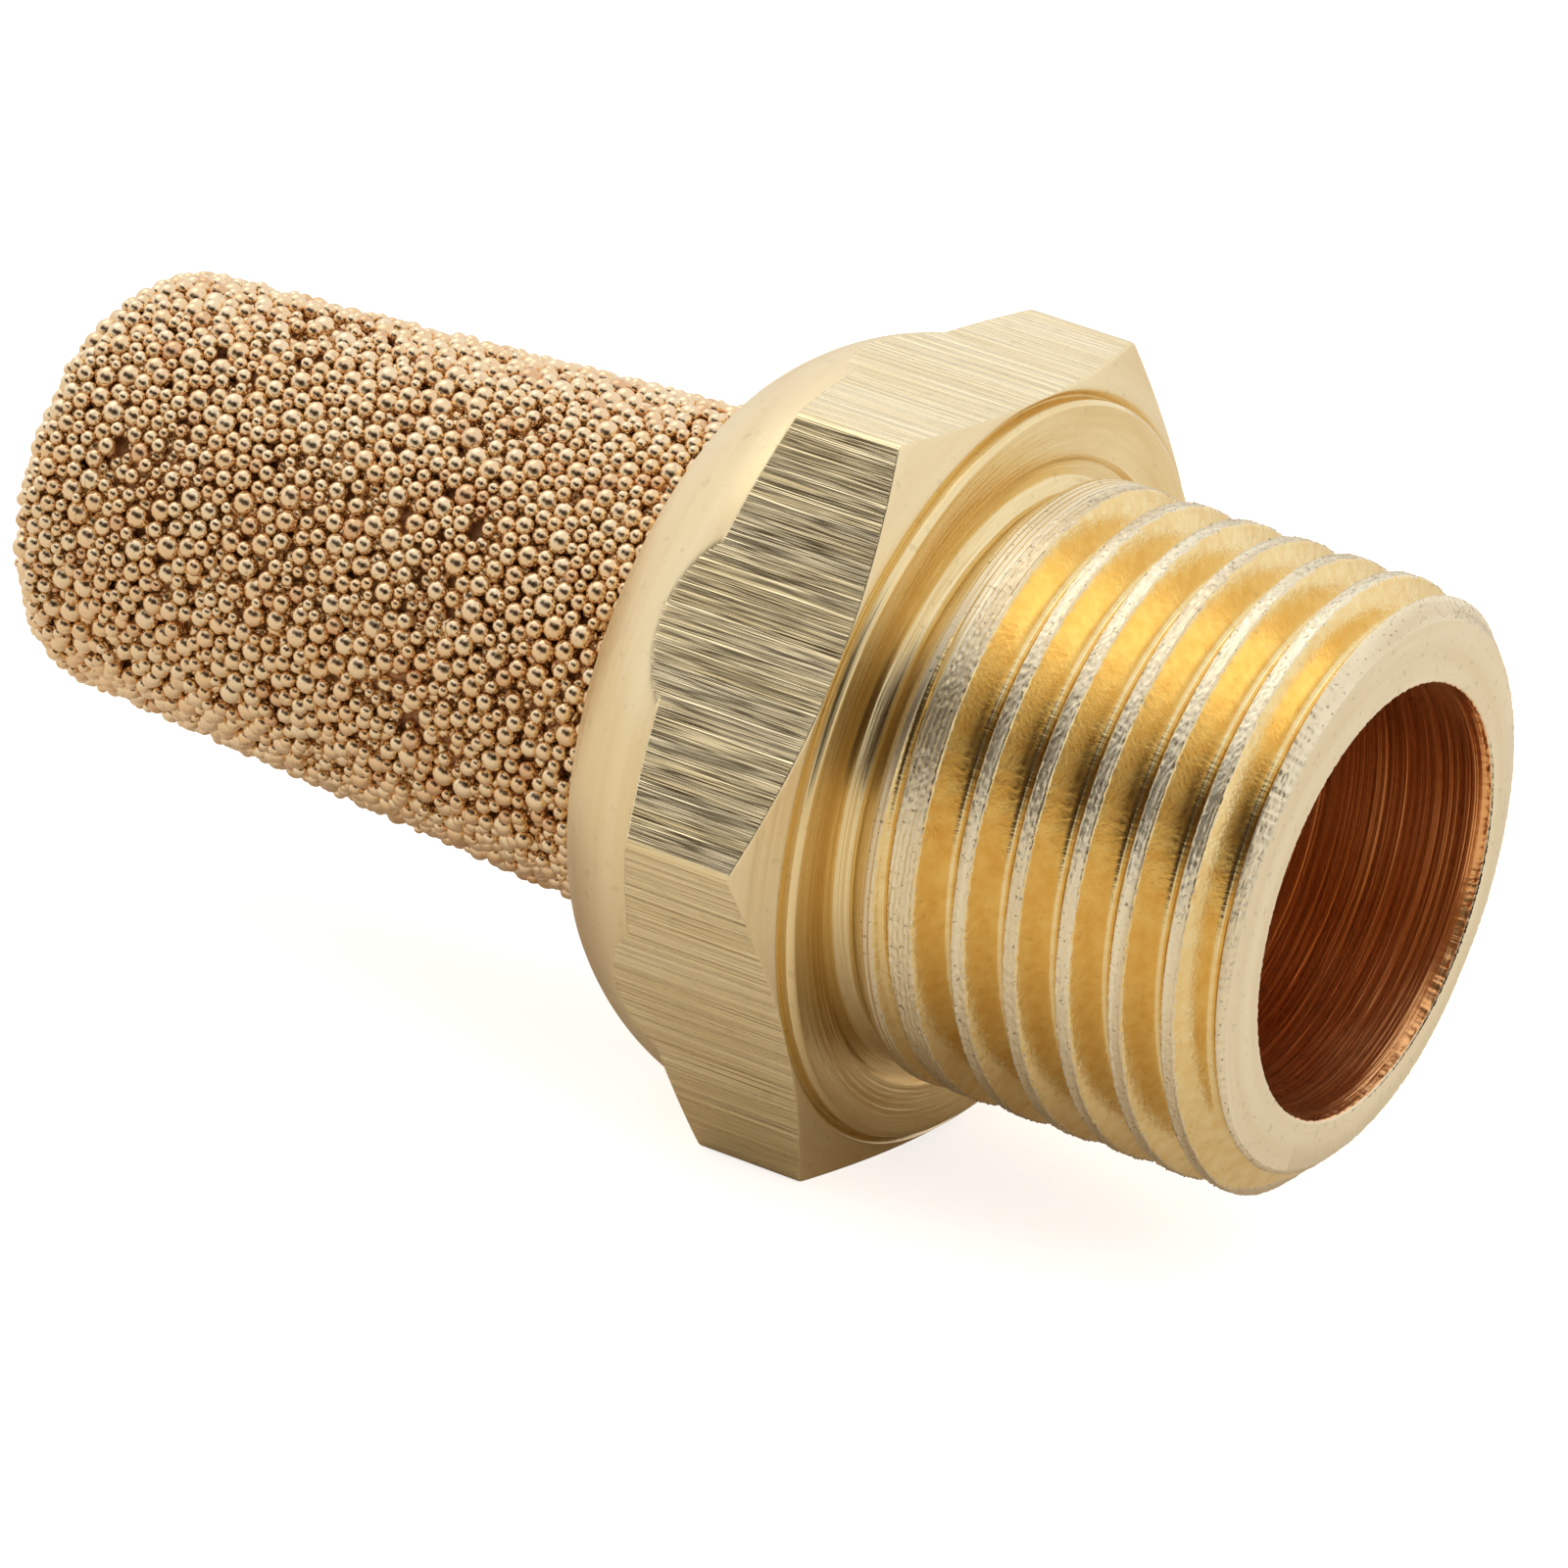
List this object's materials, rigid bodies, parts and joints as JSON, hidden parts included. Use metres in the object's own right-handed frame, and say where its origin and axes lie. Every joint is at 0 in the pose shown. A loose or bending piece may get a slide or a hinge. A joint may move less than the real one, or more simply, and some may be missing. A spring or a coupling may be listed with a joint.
{
  "type": "pneumatic exhaust silencer",
  "caption": "Exhaust silencer: a brass hexagon fitting with a parallel male pipe thread holds a tapered, closed cup of sintered bronze balls under a rolled lip.",
  "frame": {"origin": "centre of the seal face on the axis of the thread", "axes": "+X along the axis, out of the threaded end; +Z square to a pair of wrench flats; +Y through a corner of the hexagon"},
  "size_m": [0.023, 0.0138, 0.012],
  "materials": {
    "turned_brass": "turned satin brass with a fine grain along the hexagon",
    "sintered_bronze": "bright round bronze grains sintered together"
  },
  "bodies": {
    "root": {"fitting_body": "turned_brass", "sintered_cup": "sintered_bronze"}
  },
  "joints": []
}
